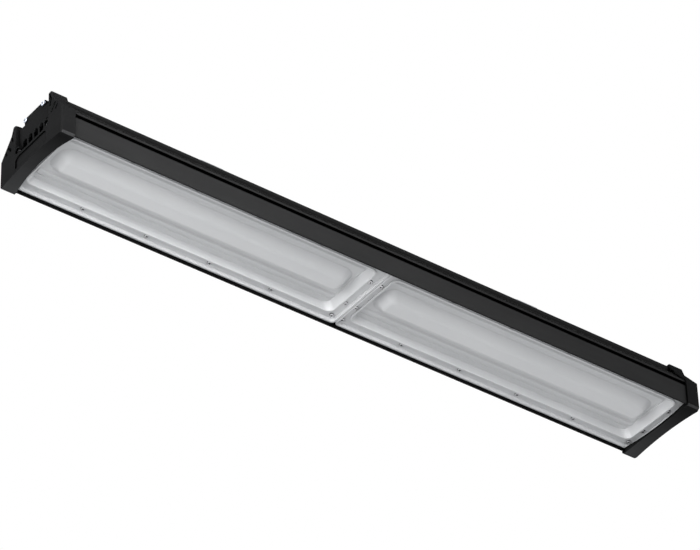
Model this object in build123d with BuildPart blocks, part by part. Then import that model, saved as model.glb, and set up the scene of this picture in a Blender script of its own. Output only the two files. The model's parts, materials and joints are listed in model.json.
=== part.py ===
from build123d import *
import os
from math import atan2, cos, radians, sin, sqrt, tan

os.makedirs("parts", exist_ok=True)

# Linear high-bay luminaire. X runs along its length, Y across it, and Z is up.
# The lit side looks down, and z = 0 is the level of the end caps' lower corners.

# Outline of the end caps, seen along X
overall_length = 1200.0
overall_width = 164.5
side_height = 50.0
shoulder_run = 26.75
shoulder_rise = 33.0
ear_lean = 5.0
ear_rise = 14.5
foot_chamfer = 3.1

# Fits
slide_fit = 0.25
seat_fit = 0.3
cut_margin = 1.0

# End caps
cap_depth = 23.9
cap_wall = 2.8
stop_depth = 11.4
cap_edge_radius = 3.0
foot_strip = 5.0
arch_rise_outer = 4.75
arch_rise_inner = 6.5
lip_bow = 5.0
ear_thickness = 6.5
ear_overhang = 4.5
ear_roof = 4.2
bay_draft = 3.0
panel_depth_top = 5.25
panel_lean = 4.2
tongue_rise = 1.1
valley_width = 16.5
valley_depth = 9.5
valley_radius = 8.0
vent_count = 5
vent_pitch = 14.5
vent_width = 10.2
vent_sill = 4.5
vent_height = 24.0
recess_depth = 2.0
recess_inset = 3.0
recess_bottom = 10.0
recess_brow = 4.0
recess_radius = 8.0
boss_inset = 5.5
boss_rise = 5.5
boss_over_floor = 9.0
boss_radius = 7.3
boss_setback = 0.8
boss_bore = 10.0
boss_bore_depth = 5.5
slot_width = 4.2
slot_lean = 52.0
leaning_slots = ((23.3, 11.3, 13.5), (14.2, 7.6, 4.5))
ear_slot_width = 2.8
ear_slot_path = ((-1.3, -14.5), (2.1, -3.5), (-1.2, 7.0))

# Heat-sink extrusion
skirt_lift = 3.0
skirt_thickness = 2.0
plate_thickness = 4.4
side_slot_sill = 0.4
side_slot_height = 5.5
side_slot_lip = 1.4
side_slot_undercut = 1.6
side_slot_pocket = 5.4
side_slot_wall = 2.2
side_slot_roof = 2.4
fin_thickness = 1.8
outer_fin_count = 5
outer_fin_pitch = 8.0
outer_fin_first = 4.0
outer_fin_angle = 55.0
inner_fin_count = 4
inner_fin_clearance = 2.9
inner_fin_height = 23.0
upright_thickness = 3.0
rail_width = 12.6
rail_lip = 2.3
rail_lip_thickness = 2.5
rail_height = 24.0
rail_nut_space = 6.0
port_wall = 2.4
port_bore = 5.0

# Lens covers, gaskets and cross bars
lens_joint = 1.0
lens_side_fit = 0.3
lens_end_setback = 12.2
lens_corner_radius = 7.5
rim_level = 10.0
rim_width = 2.6
flange_level = 17.0
flange_thickness = 2.7
bead_level = 14.0
bead_offset = 16.8
bead_width = 2.6
pan_corner_radius = 11.0
pan_end_slope = 8.0
pan_side_slope = 1.6
lens_wall = 2.0
base_level = 29.0
plateau_inner = 48.0
plateau_drop = 1.0
rib_inner = 36.5
rib_outer = 41.5
rib_drop = 2.2
dome_half_width = 28.4
dome_inset = 29.6
dome_drop = 15.5
dome_corner_radius = 22.0
dome_taper = 44.0
dome_edge_radius = 11.0
lens_gasket_thickness = 1.0
lens_gasket_inset = 2.0
end_gasket_thickness = 0.8
bar_screw_spread = 46.0
bar_screw_inset = 7.6

# Screws round the covers
screw_edge = 9.35
screw_pitches = 5
short_side_spread = 31.9
lens_screw_head = 7.4
lens_screw_head_height = 2.4
lens_screw_shank = 3.8
lens_screw_length = 12.0
lens_screw_recess = 10.5
lens_screw_recess_depth = 1.0
screw_hole_fit = 0.3
cap_screw_head = 8.6
cap_screw_head_height = 3.0
cap_screw_shank = 4.8
cap_screw_length = 24.0
end_screw_shank = 4.0
end_screw_length = 20.0

# LED boards
board_half_width = 50.0
board_inset = 19.5
board_thickness = 1.6
chip_clearance = 0.8
chip_height = 1.2
chip_side = 5.0
chip_columns = 28
chip_row_spread = 10.0
board_screw_columns = 4
board_screw_inset = 16.5
board_screw_spread = 42.0
board_screw_head = 5.6
board_screw_head_height = 1.3
board_screw_shank = 2.9
board_screw_length = 4.4

# Driver box
cover_wall = 2.0
cover_corner_radius = 2.5
cover_port_inset = 4.0
cover_port_drop = 4.5
cover_port_wall = 1.6
cover_port_bore = 4.2
tray_thickness = 1.5
tray_flange = 9.0
driver_length = 300.0
driver_side_gap = 1.7
driver_height = 25.0
driver_gap = 110.0
driver_tab = 9.0
driver_tab_thickness = 2.0
terminal_length = 44.0
terminal_width = 30.0
terminal_height = 20.0
terminal_chamfer = 5.0
cover_screw_columns = 5
cover_screw_level = 6.0
cover_screw_pitch = 240.0
cover_side_screw_length = 5.5
driver_screw_length = 5.0
lead_diameter = 4.0
lead_bend = 14.0
lead_reach = 24.0
grommet_flange = 1.0
core_diameter = 3.0
core_spread = 5.0

# Cable inlet on top of the driver box
gland_inset = 145.0
gland_thread = 20.0
gland_hex = 24.0
gland_hex_height = 6.0
gland_dome_height = 15.0
gland_dome_taper = 15.0
gland_neck_height = 10.0
gland_bore = 9.0
gland_tail = 9.0
gland_seal_thickness = 1.5
gland_lock_height = 4.0

# Hangers that bridge the driver box
hanger_width = 40.0
hanger_thickness = 3.0
hanger_headroom = 14.0
hanger_hole = 9.0
hanger_bend = 5.0
hanger_side_gap = 1.0
bolt_diameter = 6.0
bolt_head = 10.0
bolt_head_height = 4.0
bolt_length = 9.0

# Levels and places that follow from the sizes above
half_length = overall_length / 2
half_width = overall_width / 2
ear_top = side_height + shoulder_rise + ear_rise
shoulder_end = half_width - shoulder_run
shoulder_top = side_height + shoulder_rise
ear_outer = shoulder_end - ear_lean
ear_inner = ear_outer - ear_thickness
tongue_half_width = ear_inner - valley_width
boss_spread = ear_inner - boss_inset
recess_half_width = ear_inner - recess_inset
valley_level = ear_top - valley_depth
gland_place = half_length - gland_inset
hanger_place = overall_length / 4
shoulder_angle = atan2(shoulder_rise, shoulder_run)
ear_angle = atan2(ear_rise, ear_lean)
body_half = half_width - cap_wall - slide_fit
housing_half_length = half_length - stop_depth - end_gasket_thickness
lens_outer = half_length - lens_end_setback
lens_inner = lens_joint / 2
lens_length = lens_outer - lens_inner
lens_middle = (lens_outer + lens_inner) / 2
lens_half_width = body_half - skirt_thickness - lens_side_fit
ledge_level = flange_level + flange_thickness + lens_gasket_thickness
base_top = base_level + lens_wall
board_bottom = base_top + chip_clearance + chip_height
plate_bottom = board_bottom + board_thickness
plate_top = plate_bottom + plate_thickness
inner_fin_top = plate_top + inner_fin_height
cover_top = ear_top + tongue_rise
boss_level = plate_top + boss_rise
bay_floor = boss_level - boss_over_floor
vent_bottom = bay_floor + vent_sill
vent_top = vent_bottom + vent_height
recess_top = bay_floor - recess_brow
upright_top = ear_top - ear_roof - slide_fit
upright_outer = (
    shoulder_end
    - (upright_top - shoulder_top) / tan(ear_angle)
    - (cap_wall + slide_fit) / sin(ear_angle)
)
upright_inner = upright_outer - upright_thickness
rail_web_inner = upright_inner - rail_width
inner_fin_pitch = (rail_web_inner - inner_fin_clearance) / inner_fin_count
rail_top = plate_top + rail_height
side_slot_bottom = plate_top + side_slot_sill
side_slot_top = side_slot_bottom + side_slot_height
lip_top = side_slot_top + side_slot_undercut + side_slot_roof
long_row = lens_half_width - screw_edge
pan_half_width = lens_half_width - bead_offset
flange_width = bead_offset - lens_wall - seat_fit
ledge_inner = lens_half_width - flange_width
first_column = lens_inner + screw_edge
last_column = lens_outer - screw_edge
column_pitch = (last_column - first_column) / screw_pitches
lead_place = driver_gap / 2 + driver_length + driver_tab + lead_reach
grommet_radius = lead_diameter / 2 + grommet_flange / 2
driver_screw_x = [
    side * (driver_gap / 2 + place)
    for side in (-1, 1)
    for place in (-driver_tab / 2, driver_length + driver_tab / 2)
]
end_bar_middle = housing_half_length - flange_width / 2
bar_screw_places = [
    (x, side * bar_screw_spread)
    for x in (-housing_half_length + bar_screw_inset, 0, housing_half_length - bar_screw_inset)
    for side in (-1, 1)
]


def block(y_low, y_high, z_low, z_high, mode=Mode.ADD):
    """A rectangle of the section, given by its corners."""
    with Locations(((y_low + y_high) / 2, (z_low + z_high) / 2)):
        Rectangle(y_high - y_low, z_high - z_low, mode=mode)


def across(x):
    """The plane across the fixture at x, with its own x along Y and its own y up."""
    return Plane(origin=(x, 0, 0), x_dir=(0, 1, 0), z_dir=(1, 0, 0))


def level(z):
    """The level plane at height z."""
    return Plane.XY.offset(z)


def cap_outline():
    """The outline of an end cap, as a face in the current sketch."""
    half_outline = (
        (half_width - foot_chamfer, 0),
        (half_width, foot_chamfer),
        (half_width, side_height),
        (shoulder_end, shoulder_top),
        (ear_outer, ear_top),
    )
    other_half = tuple((-y, z) for y, z in reversed(half_outline))
    Polygon(*half_outline, *other_half, align=None)


def under_shoulder(along, depth):
    """The point so far up the shoulder from its lower corner, and so deep under it."""
    return (
        half_width - along * cos(shoulder_angle) - depth * sin(shoulder_angle),
        side_height + along * sin(shoulder_angle) - depth * cos(shoulder_angle),
    )


def turned(piece):
    """The same piece, half a turn round the fixture's middle."""
    return piece.rotate(Axis.Z, 180)


def save(piece, name):
    """Label a piece and write it as one node."""
    piece.label = name
    export_step(piece, f"parts/{name}.step")


# Housing: one extrusion with skirts, side slots, leaning fins, uprights and rails
def outer_fin(index):
    """One leaning fin, from its rounded tip under the shoulder down to its root."""
    tip_y, tip_z = under_shoulder(
        outer_fin_first + index * outer_fin_pitch, cap_wall + slide_fit + fin_thickness
    )
    lean = radians(outer_fin_angle)
    reach = min((tip_z - plate_top) / sin(lean), (tip_y - upright_outer) / cos(lean))
    middle = (tip_y - reach * cos(lean) / 2, tip_z - reach * sin(lean) / 2)
    with Locations(middle):
        SlotCenterToCenter(reach, fin_thickness, rotation=outer_fin_angle)


slot_pocket_outer = body_half - side_slot_lip
cap_foot_inner = half_width - foot_chamfer + skirt_lift - sqrt(2) * (cap_wall + slide_fit)
skirt_chamfer = body_half - cap_foot_inner
slot_pocket_inner = slot_pocket_outer - side_slot_pocket
rail_web_outer = rail_web_inner + fin_thickness
rail_floor_top = rail_top - rail_lip_thickness - rail_nut_space

with BuildPart() as housing:
    with BuildSketch(across(0)):
        block(0, body_half, plate_bottom, plate_top)
        block(body_half - skirt_thickness, body_half, skirt_lift, lip_top)
        block(ledge_inner, body_half, ledge_level, plate_bottom)
        block(slot_pocket_inner - side_slot_wall, body_half, plate_top, lip_top)
        for fin in range(outer_fin_count):
            outer_fin(fin)
        for fin in range(inner_fin_count):
            fin_middle = (fin + 0.5) * inner_fin_pitch
            block(
                fin_middle - fin_thickness / 2,
                fin_middle + fin_thickness / 2,
                plate_top,
                inner_fin_top,
            )
        block(upright_inner, upright_outer, plate_top, upright_top)
        block(rail_web_inner, rail_web_outer, plate_top, rail_top)
        block(rail_web_outer, upright_inner, rail_floor_top - fin_thickness, rail_floor_top)
        block(rail_web_outer, rail_web_outer + rail_lip, rail_top - rail_lip_thickness, rail_top)
        block(upright_inner - rail_lip, upright_inner, rail_top - rail_lip_thickness, rail_top)
        block(boss_spread - port_wall, boss_spread + port_wall, plate_top, boss_level)
        with Locations((boss_spread, boss_level)):
            Circle(port_bore / 2 + port_wall)
            Circle(port_bore / 2, mode=Mode.SUBTRACT)
        block(
            slot_pocket_outer,
            body_half + slide_fit,
            side_slot_bottom,
            side_slot_top,
            mode=Mode.SUBTRACT,
        )
        block(
            slot_pocket_inner,
            slot_pocket_outer,
            side_slot_bottom - side_slot_undercut,
            side_slot_top + side_slot_undercut,
            mode=Mode.SUBTRACT,
        )
        groove_half = (lens_screw_shank + screw_hole_fit) / 2
        block(
            long_row - groove_half,
            long_row + groove_half,
            ledge_level,
            ledge_level + lens_screw_length,
            mode=Mode.SUBTRACT,
        )
        Polygon(
            (body_half + slide_fit, skirt_lift - slide_fit),
            (body_half + slide_fit, skirt_lift + skirt_chamfer + slide_fit),
            (body_half - skirt_chamfer - slide_fit, skirt_lift - slide_fit),
            align=None,
            mode=Mode.SUBTRACT,
        )
        mirror(about=Plane.YZ)
    extrude(amount=housing_half_length, both=True)
    board_reach = (lens_outer - lens_inner - 2 * board_inset) / 2
    screw_reach = board_reach - board_screw_inset
    board_columns = [
        side * (lens_middle + screw_reach * (2 * column / (board_screw_columns - 1) - 1))
        for side in (-1, 1)
        for column in range(board_screw_columns)
    ]
    with Locations(
        *[
            (x, side * board_screw_spread, plate_bottom)
            for x in board_columns
            for side in (-1, 1)
        ]
    ):
        Cylinder(
            (board_screw_shank + screw_hole_fit) / 2,
            board_screw_length - board_thickness,
            align=(Align.CENTER, Align.CENTER, Align.MIN),
            mode=Mode.SUBTRACT,
        )
    with Locations((-lead_place, 0, plate_bottom), (lead_place, 0, plate_bottom)):
        Cylinder(
            grommet_radius,
            plate_thickness,
            align=(Align.CENTER, Align.CENTER, Align.MIN),
            mode=Mode.SUBTRACT,
        )
    with Locations(*[(x, y, plate_bottom) for x, y in bar_screw_places]):
        Cylinder(
            (lens_screw_shank + screw_hole_fit) / 2,
            plate_thickness / 2,
            align=(Align.CENTER, Align.CENTER, Align.MIN),
            mode=Mode.SUBTRACT,
        )
save(housing.part, "housing")


# End cap, left hand: the outer form first, then its bay, its hollow back and its openings
left_face = -half_length
cap_back = left_face + cap_depth
stop_face = left_face + stop_depth

with BuildPart() as end_cap_left:
    with BuildSketch(across(left_face)):
        cap_outline()
    extrude(amount=cap_depth)
    front_edges = end_cap_left.edges().filter_by_position(Axis.X, left_face, left_face)
    fillet(front_edges.filter_by(lambda edge: edge.center().Z > slide_fit), cap_edge_radius)

    # The lower lip rises as an arch, more at its inner edge than at the face
    lip_half = half_width - foot_chamfer - foot_strip
    for place, rise in ((left_face, arch_rise_outer), (cap_back, arch_rise_inner)):
        with BuildSketch(across(place)):
            with BuildLine():
                ThreePointArc((-lip_half, 0), (0, rise), (lip_half, 0))
                Polyline(
                    (lip_half, 0),
                    (lip_half, -cut_margin),
                    (-lip_half, -cut_margin),
                    (-lip_half, 0),
                )
            make_face()
    loft(mode=Mode.SUBTRACT)
    with BuildSketch(level(-cut_margin)):
        with BuildLine():
            ThreePointArc(
                (cap_back, -lip_half), (cap_back - lip_bow, 0), (cap_back, lip_half)
            )
            Line((cap_back, lip_half), (cap_back, -lip_half))
        make_face()
    extrude(amount=rim_level - seat_fit + cut_margin, mode=Mode.SUBTRACT)

    # The hollow that the extrusion slides into, open upwards between the ears
    with BuildSketch(across(stop_face)):
        cap_outline()
        offset(amount=-cap_wall, kind=Kind.INTERSECTION)
        lip_inner = body_half - skirt_thickness - slide_fit
        block(-lip_inner, lip_inner, 0, rim_level - seat_fit, mode=Mode.SUBTRACT)
        for side in (-1, 1):
            low, high = sorted((side * ear_inner, side * half_width))
            block(low, high, upright_top + slide_fit, ear_top, mode=Mode.SUBTRACT)
        block(-ear_inner, ear_inner, plate_top, cover_top)
    extrude(amount=cap_depth - stop_depth, mode=Mode.SUBTRACT)

    # The ears reach further back than the rest of the cap
    with BuildSketch(across(cap_back)):
        cap_outline()
        offset(amount=-cap_wall, kind=Kind.INTERSECTION, mode=Mode.SUBTRACT)
        block(-half_width, half_width, 0, shoulder_top, mode=Mode.SUBTRACT)
        block(-ear_inner, ear_inner, 0, ear_top, mode=Mode.SUBTRACT)
    extrude(amount=ear_overhang)

    # The side pockets that the shoulder slots open into
    with BuildSketch(across(left_face + cap_wall)):
        cap_outline()
        offset(amount=-cap_wall, kind=Kind.INTERSECTION)
        pocket_inner = ear_inner + cap_wall
        block(-pocket_inner, pocket_inner, 0, ear_top, mode=Mode.SUBTRACT)
        block(-half_width, half_width, 0, plate_top, mode=Mode.SUBTRACT)
        block(-half_width, half_width, ear_top - 2 * ear_roof, ear_top, mode=Mode.SUBTRACT)
    extrude(amount=stop_depth - cap_wall, mode=Mode.SUBTRACT)

    # The pocket behind the name field
    with BuildSketch(across(left_face + recess_depth + cap_wall)):
        block(
            -recess_half_width - cap_wall,
            recess_half_width + cap_wall,
            rim_level + 2 * cap_wall,
            bay_floor - cap_wall,
        )
    extrude(amount=stop_depth - recess_depth - cap_wall, mode=Mode.SUBTRACT)

    # The bay between the ears, wider at its mouth than at its back
    with BuildSketch(level(bay_floor)):
        Polygon(
            (left_face, -ear_inner),
            (stop_face, -ear_inner + bay_draft),
            (stop_face, ear_inner - bay_draft),
            (left_face, ear_inner),
            align=None,
        )
    extrude(amount=ear_top, mode=Mode.SUBTRACT)
    mouth_edges = (
        end_cap_left.edges()
        .filter_by(Axis.Z)
        .filter_by_position(Axis.X, left_face, left_face)
    )
    fillet(mouth_edges, cap_edge_radius)

    # The leaning panel at the back of the bay, with the tongue that stands above the ears
    lean_run = tan(radians(panel_lean)) * (cover_top - bay_floor)
    with BuildSketch(Plane.XZ):
        Polygon(
            (stop_face, bay_floor - cap_wall),
            (left_face + panel_depth_top + lean_run, bay_floor - cap_wall),
            (left_face + panel_depth_top + lean_run, bay_floor),
            (left_face + panel_depth_top, cover_top),
            (stop_face, cover_top),
            align=None,
        )
    extrude(amount=ear_inner - slide_fit, both=True)
    with BuildSketch(across(left_face + cap_wall)) as valleys:
        valley_middle = (tongue_half_width + ear_inner) / 2
        for side in (-1, 1):
            with Locations((side * valley_middle, (valley_level + cover_top + cap_wall) / 2)):
                Rectangle(ear_inner - tongue_half_width, cover_top + cap_wall - valley_level)
        fillet(
            valleys.vertices()
            .filter_by(lambda corner: abs(corner.X) > valley_middle)
            .group_by(Axis.Y)[0],
            valley_radius,
        )
    extrude(amount=stop_depth - cap_wall, mode=Mode.SUBTRACT)

    # The two screw bosses in the bay's lower corners
    with BuildSketch(across(left_face + boss_setback)):
        for side in (-1, 1):
            with Locations((side * boss_spread, boss_level)):
                Circle(boss_radius)
            low, high = sorted((side * (boss_spread - boss_radius), side * (ear_inner + cut_margin)))
            block(low, high, bay_floor - cap_wall, boss_level)
    extrude(amount=stop_depth - boss_setback)
    with BuildSketch(across(left_face)):
        with Locations((-boss_spread, boss_level), (boss_spread, boss_level)):
            Circle(boss_bore / 2)
    extrude(amount=boss_setback + boss_bore_depth, mode=Mode.SUBTRACT)
    with BuildSketch(across(left_face)):
        with Locations((-boss_spread, boss_level), (boss_spread, boss_level)):
            Circle(port_bore / 2)
    extrude(amount=stop_depth, mode=Mode.SUBTRACT)

    # Seats and holes for the two screws at the top of the tongue
    tongue_screw_y = tongue_half_width - cover_port_inset
    tongue_screw_z = cover_top - cover_port_drop
    tongue_seat = panel_depth_top + tan(radians(panel_lean)) * 2 * cover_port_drop
    with BuildSketch(across(left_face + cap_wall)):
        with Locations((-tongue_screw_y, tongue_screw_z), (tongue_screw_y, tongue_screw_z)):
            Circle(cover_port_drop)
    extrude(amount=tongue_seat - cap_wall, mode=Mode.SUBTRACT)
    with BuildSketch(across(left_face + cap_wall)):
        with Locations((-tongue_screw_y, tongue_screw_z), (tongue_screw_y, tongue_screw_z)):
            Circle(cover_port_bore / 2)
    extrude(amount=stop_depth, mode=Mode.SUBTRACT)

    # Arch-topped vents through the panel
    with BuildSketch(across(left_face)):
        with GridLocations(vent_pitch, 1, vent_count, 1):
            with Locations((0, vent_bottom)):
                Rectangle(
                    vent_width,
                    vent_top - vent_width / 2 - vent_bottom,
                    align=(Align.CENTER, Align.MIN),
                )
            with Locations((0, vent_top - vent_width / 2)):
                Circle(vent_width / 2)
    extrude(amount=stop_depth, mode=Mode.SUBTRACT)

    # The shallow name field, left bare
    with BuildSketch(across(left_face)) as name_field:
        block(-recess_half_width, recess_half_width, recess_bottom, recess_top)
        fillet(name_field.vertices().group_by(Axis.Y)[-1], recess_radius)
    extrude(amount=recess_depth, mode=Mode.SUBTRACT)

    # Three slots in each shoulder: a long one up the ear, then two that lean outwards
    with BuildSketch(across(left_face)):
        with BuildLine():
            Polyline(
                *[(ear_outer + step_y, shoulder_top + step_z) for step_y, step_z in ear_slot_path]
            )
        trace(line_width=ear_slot_width)
        for along, depth, slot_length in leaning_slots:
            with Locations(under_shoulder(along, depth)):
                SlotCenterToCenter(slot_length, slot_width, rotation=slot_lean)
        mirror(about=Plane.YZ)
    extrude(amount=cap_wall * 2, mode=Mode.SUBTRACT)
save(end_cap_left.part, "end_cap_left")
save(turned(end_cap_left.part), "end_cap_right")


# End gasket, between a cap's stop face and the housing's end
gasket_outer = long_row + screw_edge / 2
gasket_inner = ledge_inner - cap_wall

with BuildPart() as end_gasket_left:
    with BuildSketch(across(left_face + stop_depth)):
        block(-gasket_outer, gasket_outer, rim_level + seat_fit, plate_top - seat_fit)
        block(
            -gasket_inner,
            gasket_inner,
            ledge_level,
            plate_bottom,
            mode=Mode.SUBTRACT,
        )
    extrude(amount=end_gasket_thickness)
save(end_gasket_left.part, "end_gasket_left")
save(turned(end_gasket_left.part), "end_gasket_right")


# Lens covers: a rimmed flange for the screws, a beaded pan and a pillow-shaped optic
def lens_outline(inset, corner_radius, mode=Mode.ADD):
    """A rounded outline, set in from the lens cover's edge by the same width all round."""
    with Locations((lens_middle, 0)):
        RectangleRounded(
            lens_length - 2 * inset,
            2 * (lens_half_width - inset),
            corner_radius,
            mode=mode,
        )


def pan_outline(end_inset, side_inset, grow=0):
    """The outline of the pan, set in from the bead by different widths at ends and sides."""
    with Locations((lens_middle, 0)):
        RectangleRounded(
            lens_length - 2 * (bead_offset + end_inset - grow),
            2 * (pan_half_width - side_inset + grow),
            pan_corner_radius + grow,
        )


def dome_outline(inset):
    """The outline of the optic where it leaves the pan's floor."""
    with Locations((lens_middle, 0)):
        RectangleRounded(
            lens_length - 2 * (dome_inset + inset),
            2 * (dome_half_width - inset),
            dome_corner_radius - inset,
        )


def downward(z):
    """The level plane at height z, facing down."""
    return Plane(origin=(0, 0, z), x_dir=(1, 0, 0), z_dir=(0, 0, -1))


cover_screw_places = [
    (first_column + column * column_pitch, side * long_row)
    for column in range(screw_pitches + 1)
    for side in (-1, 1)
] + [(x, side * short_side_spread) for x in (first_column, last_column) for side in (-1, 1)]
screw_hole = (lens_screw_shank + screw_hole_fit) / 2
plateau_level = base_level - plateau_drop
dome_wall_inset = lens_wall / cos(radians(dome_taper)) - lens_wall * tan(radians(dome_taper))

with BuildPart() as lens_cover_right:
    with BuildSketch(level(flange_level)):
        lens_outline(0, lens_corner_radius)
    extrude(amount=flange_thickness)
    with BuildSketch(level(rim_level)):
        lens_outline(0, lens_corner_radius)
        lens_outline(rim_width, lens_corner_radius - rim_width, mode=Mode.SUBTRACT)
    extrude(amount=flange_level - rim_level)
    with BuildSketch(level(bead_level)):
        pan_outline(0, 0, grow=bead_width)
    extrude(amount=flange_level - bead_level)
    with BuildSketch(level(flange_level)):
        pan_outline(0, 0, grow=lens_wall)
    with BuildSketch(level(base_top)):
        pan_outline(pan_end_slope, pan_side_slope, grow=lens_wall)
    loft()
    with BuildSketch(level(bead_level)):
        pan_outline(0, 0)
    with BuildSketch(level(plateau_level)):
        pan_outline(pan_end_slope, pan_side_slope)
    loft(mode=Mode.SUBTRACT)

    # The floor's sunk middle, with one rib along each side of the optic
    floor_length = lens_length - 2 * (bead_offset + pan_end_slope + lens_wall)
    with BuildSketch(level(plateau_level)):
        with Locations((lens_middle, 0)):
            Rectangle(floor_length, 2 * plateau_inner)
    extrude(amount=plateau_drop, mode=Mode.SUBTRACT)
    with BuildSketch(across(lens_middle)):
        for side in (-1, 1):
            Polygon(
                (side * rib_inner, base_level - rib_drop),
                (side * rib_outer, base_level - rib_drop),
                (side * (rib_outer + rib_drop), base_level),
                (side * (rib_inner - rib_drop), base_level),
                align=None,
            )
    extrude(amount=floor_length / 2, both=True)

    # The optic: a hollow pillow with broad rounded shoulders
    with BuildPart(mode=Mode.PRIVATE) as pillow:
        with BuildSketch(downward(base_level)):
            dome_outline(0)
        extrude(amount=dome_drop, taper=dome_taper)
        fillet(pillow.faces().sort_by(Axis.Z)[0].edges(), dome_edge_radius)
    with BuildPart(mode=Mode.PRIVATE) as pillow_hollow:
        with BuildSketch(downward(base_top)):
            dome_outline(dome_wall_inset)
        extrude(amount=dome_drop, taper=dome_taper)
        fillet(pillow_hollow.faces().sort_by(Axis.Z)[0].edges(), dome_edge_radius - lens_wall)
    add(pillow.part)
    add(pillow_hollow.part, mode=Mode.SUBTRACT)

    # Recessed screw places
    with Locations(*[(x, y, flange_level) for x, y in cover_screw_places]):
        Cylinder(
            lens_screw_recess / 2,
            lens_screw_recess_depth,
            align=(Align.CENTER, Align.CENTER, Align.MIN),
            mode=Mode.SUBTRACT,
        )
        Cylinder(
            screw_hole,
            flange_thickness,
            align=(Align.CENTER, Align.CENTER, Align.MIN),
            mode=Mode.SUBTRACT,
        )
save(lens_cover_right.part, "lens_cover_right")
save(turned(lens_cover_right.part), "lens_cover_left")

with BuildPart() as lens_gasket_right:
    with BuildSketch(level(flange_level + flange_thickness)):
        lens_outline(lens_gasket_inset, lens_corner_radius)
        lens_outline(flange_width, pan_corner_radius, mode=Mode.SUBTRACT)
        with Locations(*cover_screw_places):
            Circle(screw_hole, mode=Mode.SUBTRACT)
    extrude(amount=lens_gasket_thickness)
save(lens_gasket_right.part, "lens_gasket_right")
save(turned(lens_gasket_right.part), "lens_gasket_left")


# Cross bars that carry the short sides of the lens covers
def cross_bar(x_middle, width, screw_rows, fixings):
    """One bar under the plate, with blind holes for the cover's screws and its own fixings."""
    with BuildPart() as bar:
        with BuildSketch(level(ledge_level)):
            with Locations((x_middle, 0)):
                Rectangle(width, 2 * (ledge_inner - seat_fit))
        extrude(amount=plate_bottom - ledge_level)
        with Locations(
            *[(x, side * short_side_spread, ledge_level) for x in screw_rows for side in (-1, 1)]
        ):
            Cylinder(
                screw_hole,
                lens_screw_length,
                align=(Align.CENTER, Align.CENTER, Align.MIN),
                mode=Mode.SUBTRACT,
            )
        with Locations(*[(x, y, ledge_level) for x, y in fixings]):
            Cylinder(
                lens_screw_head / 2 + screw_hole_fit,
                2 * lens_screw_head_height,
                align=(Align.CENTER, Align.CENTER, Align.MIN),
                mode=Mode.SUBTRACT,
            )
            Cylinder(
                screw_hole,
                plate_bottom - ledge_level,
                align=(Align.CENTER, Align.CENTER, Align.MIN),
                mode=Mode.SUBTRACT,
            )
    return bar.part


save(
    cross_bar(
        0,
        2 * (lens_inner + flange_width),
        (-first_column, first_column),
        bar_screw_places[2:4],
    ),
    "centre_bar",
)
end_bar = cross_bar(end_bar_middle, flange_width, (last_column,), bar_screw_places[4:])
save(end_bar, "end_bar_right")
save(turned(end_bar), "end_bar_left")


# Screws
def screw(head_diameter, head_height, shank_diameter, shank_length):
    """A pan-head screw that points up, seated at the origin, with its head below."""
    with BuildPart() as made:
        Cylinder(
            head_diameter / 2, head_height, align=(Align.CENTER, Align.CENTER, Align.MAX)
        )
        Cylinder(
            shank_diameter / 2, shank_length, align=(Align.CENTER, Align.CENTER, Align.MIN)
        )
    return made.part


def placed(piece, places):
    """Copies of a piece as one group of separate solids."""
    return Compound(children=[place * piece for place in places])


lens_screw = screw(
    lens_screw_head, lens_screw_head_height, lens_screw_shank, lens_screw_length
)
lens_screw_seat = flange_level + lens_screw_recess_depth
save(
    placed(
        lens_screw,
        [
            Pos(side * x, y, lens_screw_seat)
            for side in (-1, 1)
            for x, y in cover_screw_places
        ],
    ),
    "lens_screws",
)
bar_screw_seat = ledge_level + 2 * lens_screw_head_height
save(
    placed(
        screw(
            lens_screw_head,
            lens_screw_head_height,
            lens_screw_shank,
            plate_bottom + plate_thickness / 2 - bar_screw_seat,
        ),
        [Pos(x, y, bar_screw_seat) for x, y in bar_screw_places],
    ),
    "bar_screws",
)
save(
    placed(
        screw(
            board_screw_head, board_screw_head_height, board_screw_shank, board_screw_length
        ),
        [
            Pos(x, side * board_screw_spread, board_bottom)
            for x in board_columns
            for side in (-1, 1)
        ],
    ),
    "board_screws",
)
cap_screw = screw(cap_screw_head, cap_screw_head_height, cap_screw_shank, cap_screw_length)
cap_screw_face = half_length - boss_setback - boss_bore_depth
save(
    placed(
        cap_screw,
        [
            Pos(end * cap_screw_face, side * boss_spread, boss_level) * Rot(0, -end * 90, 0)
            for end in (-1, 1)
            for side in (-1, 1)
        ],
    ),
    "cap_screws",
)
end_screw = screw(cap_screw_head, cap_screw_head_height, end_screw_shank, end_screw_length)
save(
    placed(
        end_screw,
        [
            Pos(end * (half_length - tongue_seat), side * tongue_screw_y, tongue_screw_z)
            * Rot(0, -end * 90, 0)
            for end in (-1, 1)
            for side in (-1, 1)
        ],
    ),
    "cover_end_screws",
)


# LED boards and their chips
with BuildPart() as led_board_right:
    with BuildSketch(level(board_bottom)):
        with Locations((lens_middle, 0)):
            Rectangle(2 * board_reach, 2 * board_half_width)
        with Locations(
            *[
                (x, side * board_screw_spread)
                for x in board_columns
                if x > 0
                for side in (-1, 1)
            ]
        ):
            Circle((board_screw_shank + screw_hole_fit) / 2, mode=Mode.SUBTRACT)
    extrude(amount=board_thickness)
save(led_board_right.part, "led_board_right")
save(turned(led_board_right.part), "led_board_left")

chip_pitch = 2 * (board_reach - dome_corner_radius) / (chip_columns - 1)
chip = Box(
    chip_side, chip_side, chip_height, align=(Align.CENTER, Align.CENTER, Align.MAX)
)
chip_places = [
    Pos(
        lens_middle + (column - (chip_columns - 1) / 2) * chip_pitch,
        side * chip_row_spread,
        board_bottom,
    )
    for column in range(chip_columns)
    for side in (-1, 1)
]
save(placed(chip, chip_places), "led_chips_right")
save(turned(placed(chip, chip_places)), "led_chips_left")


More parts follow.
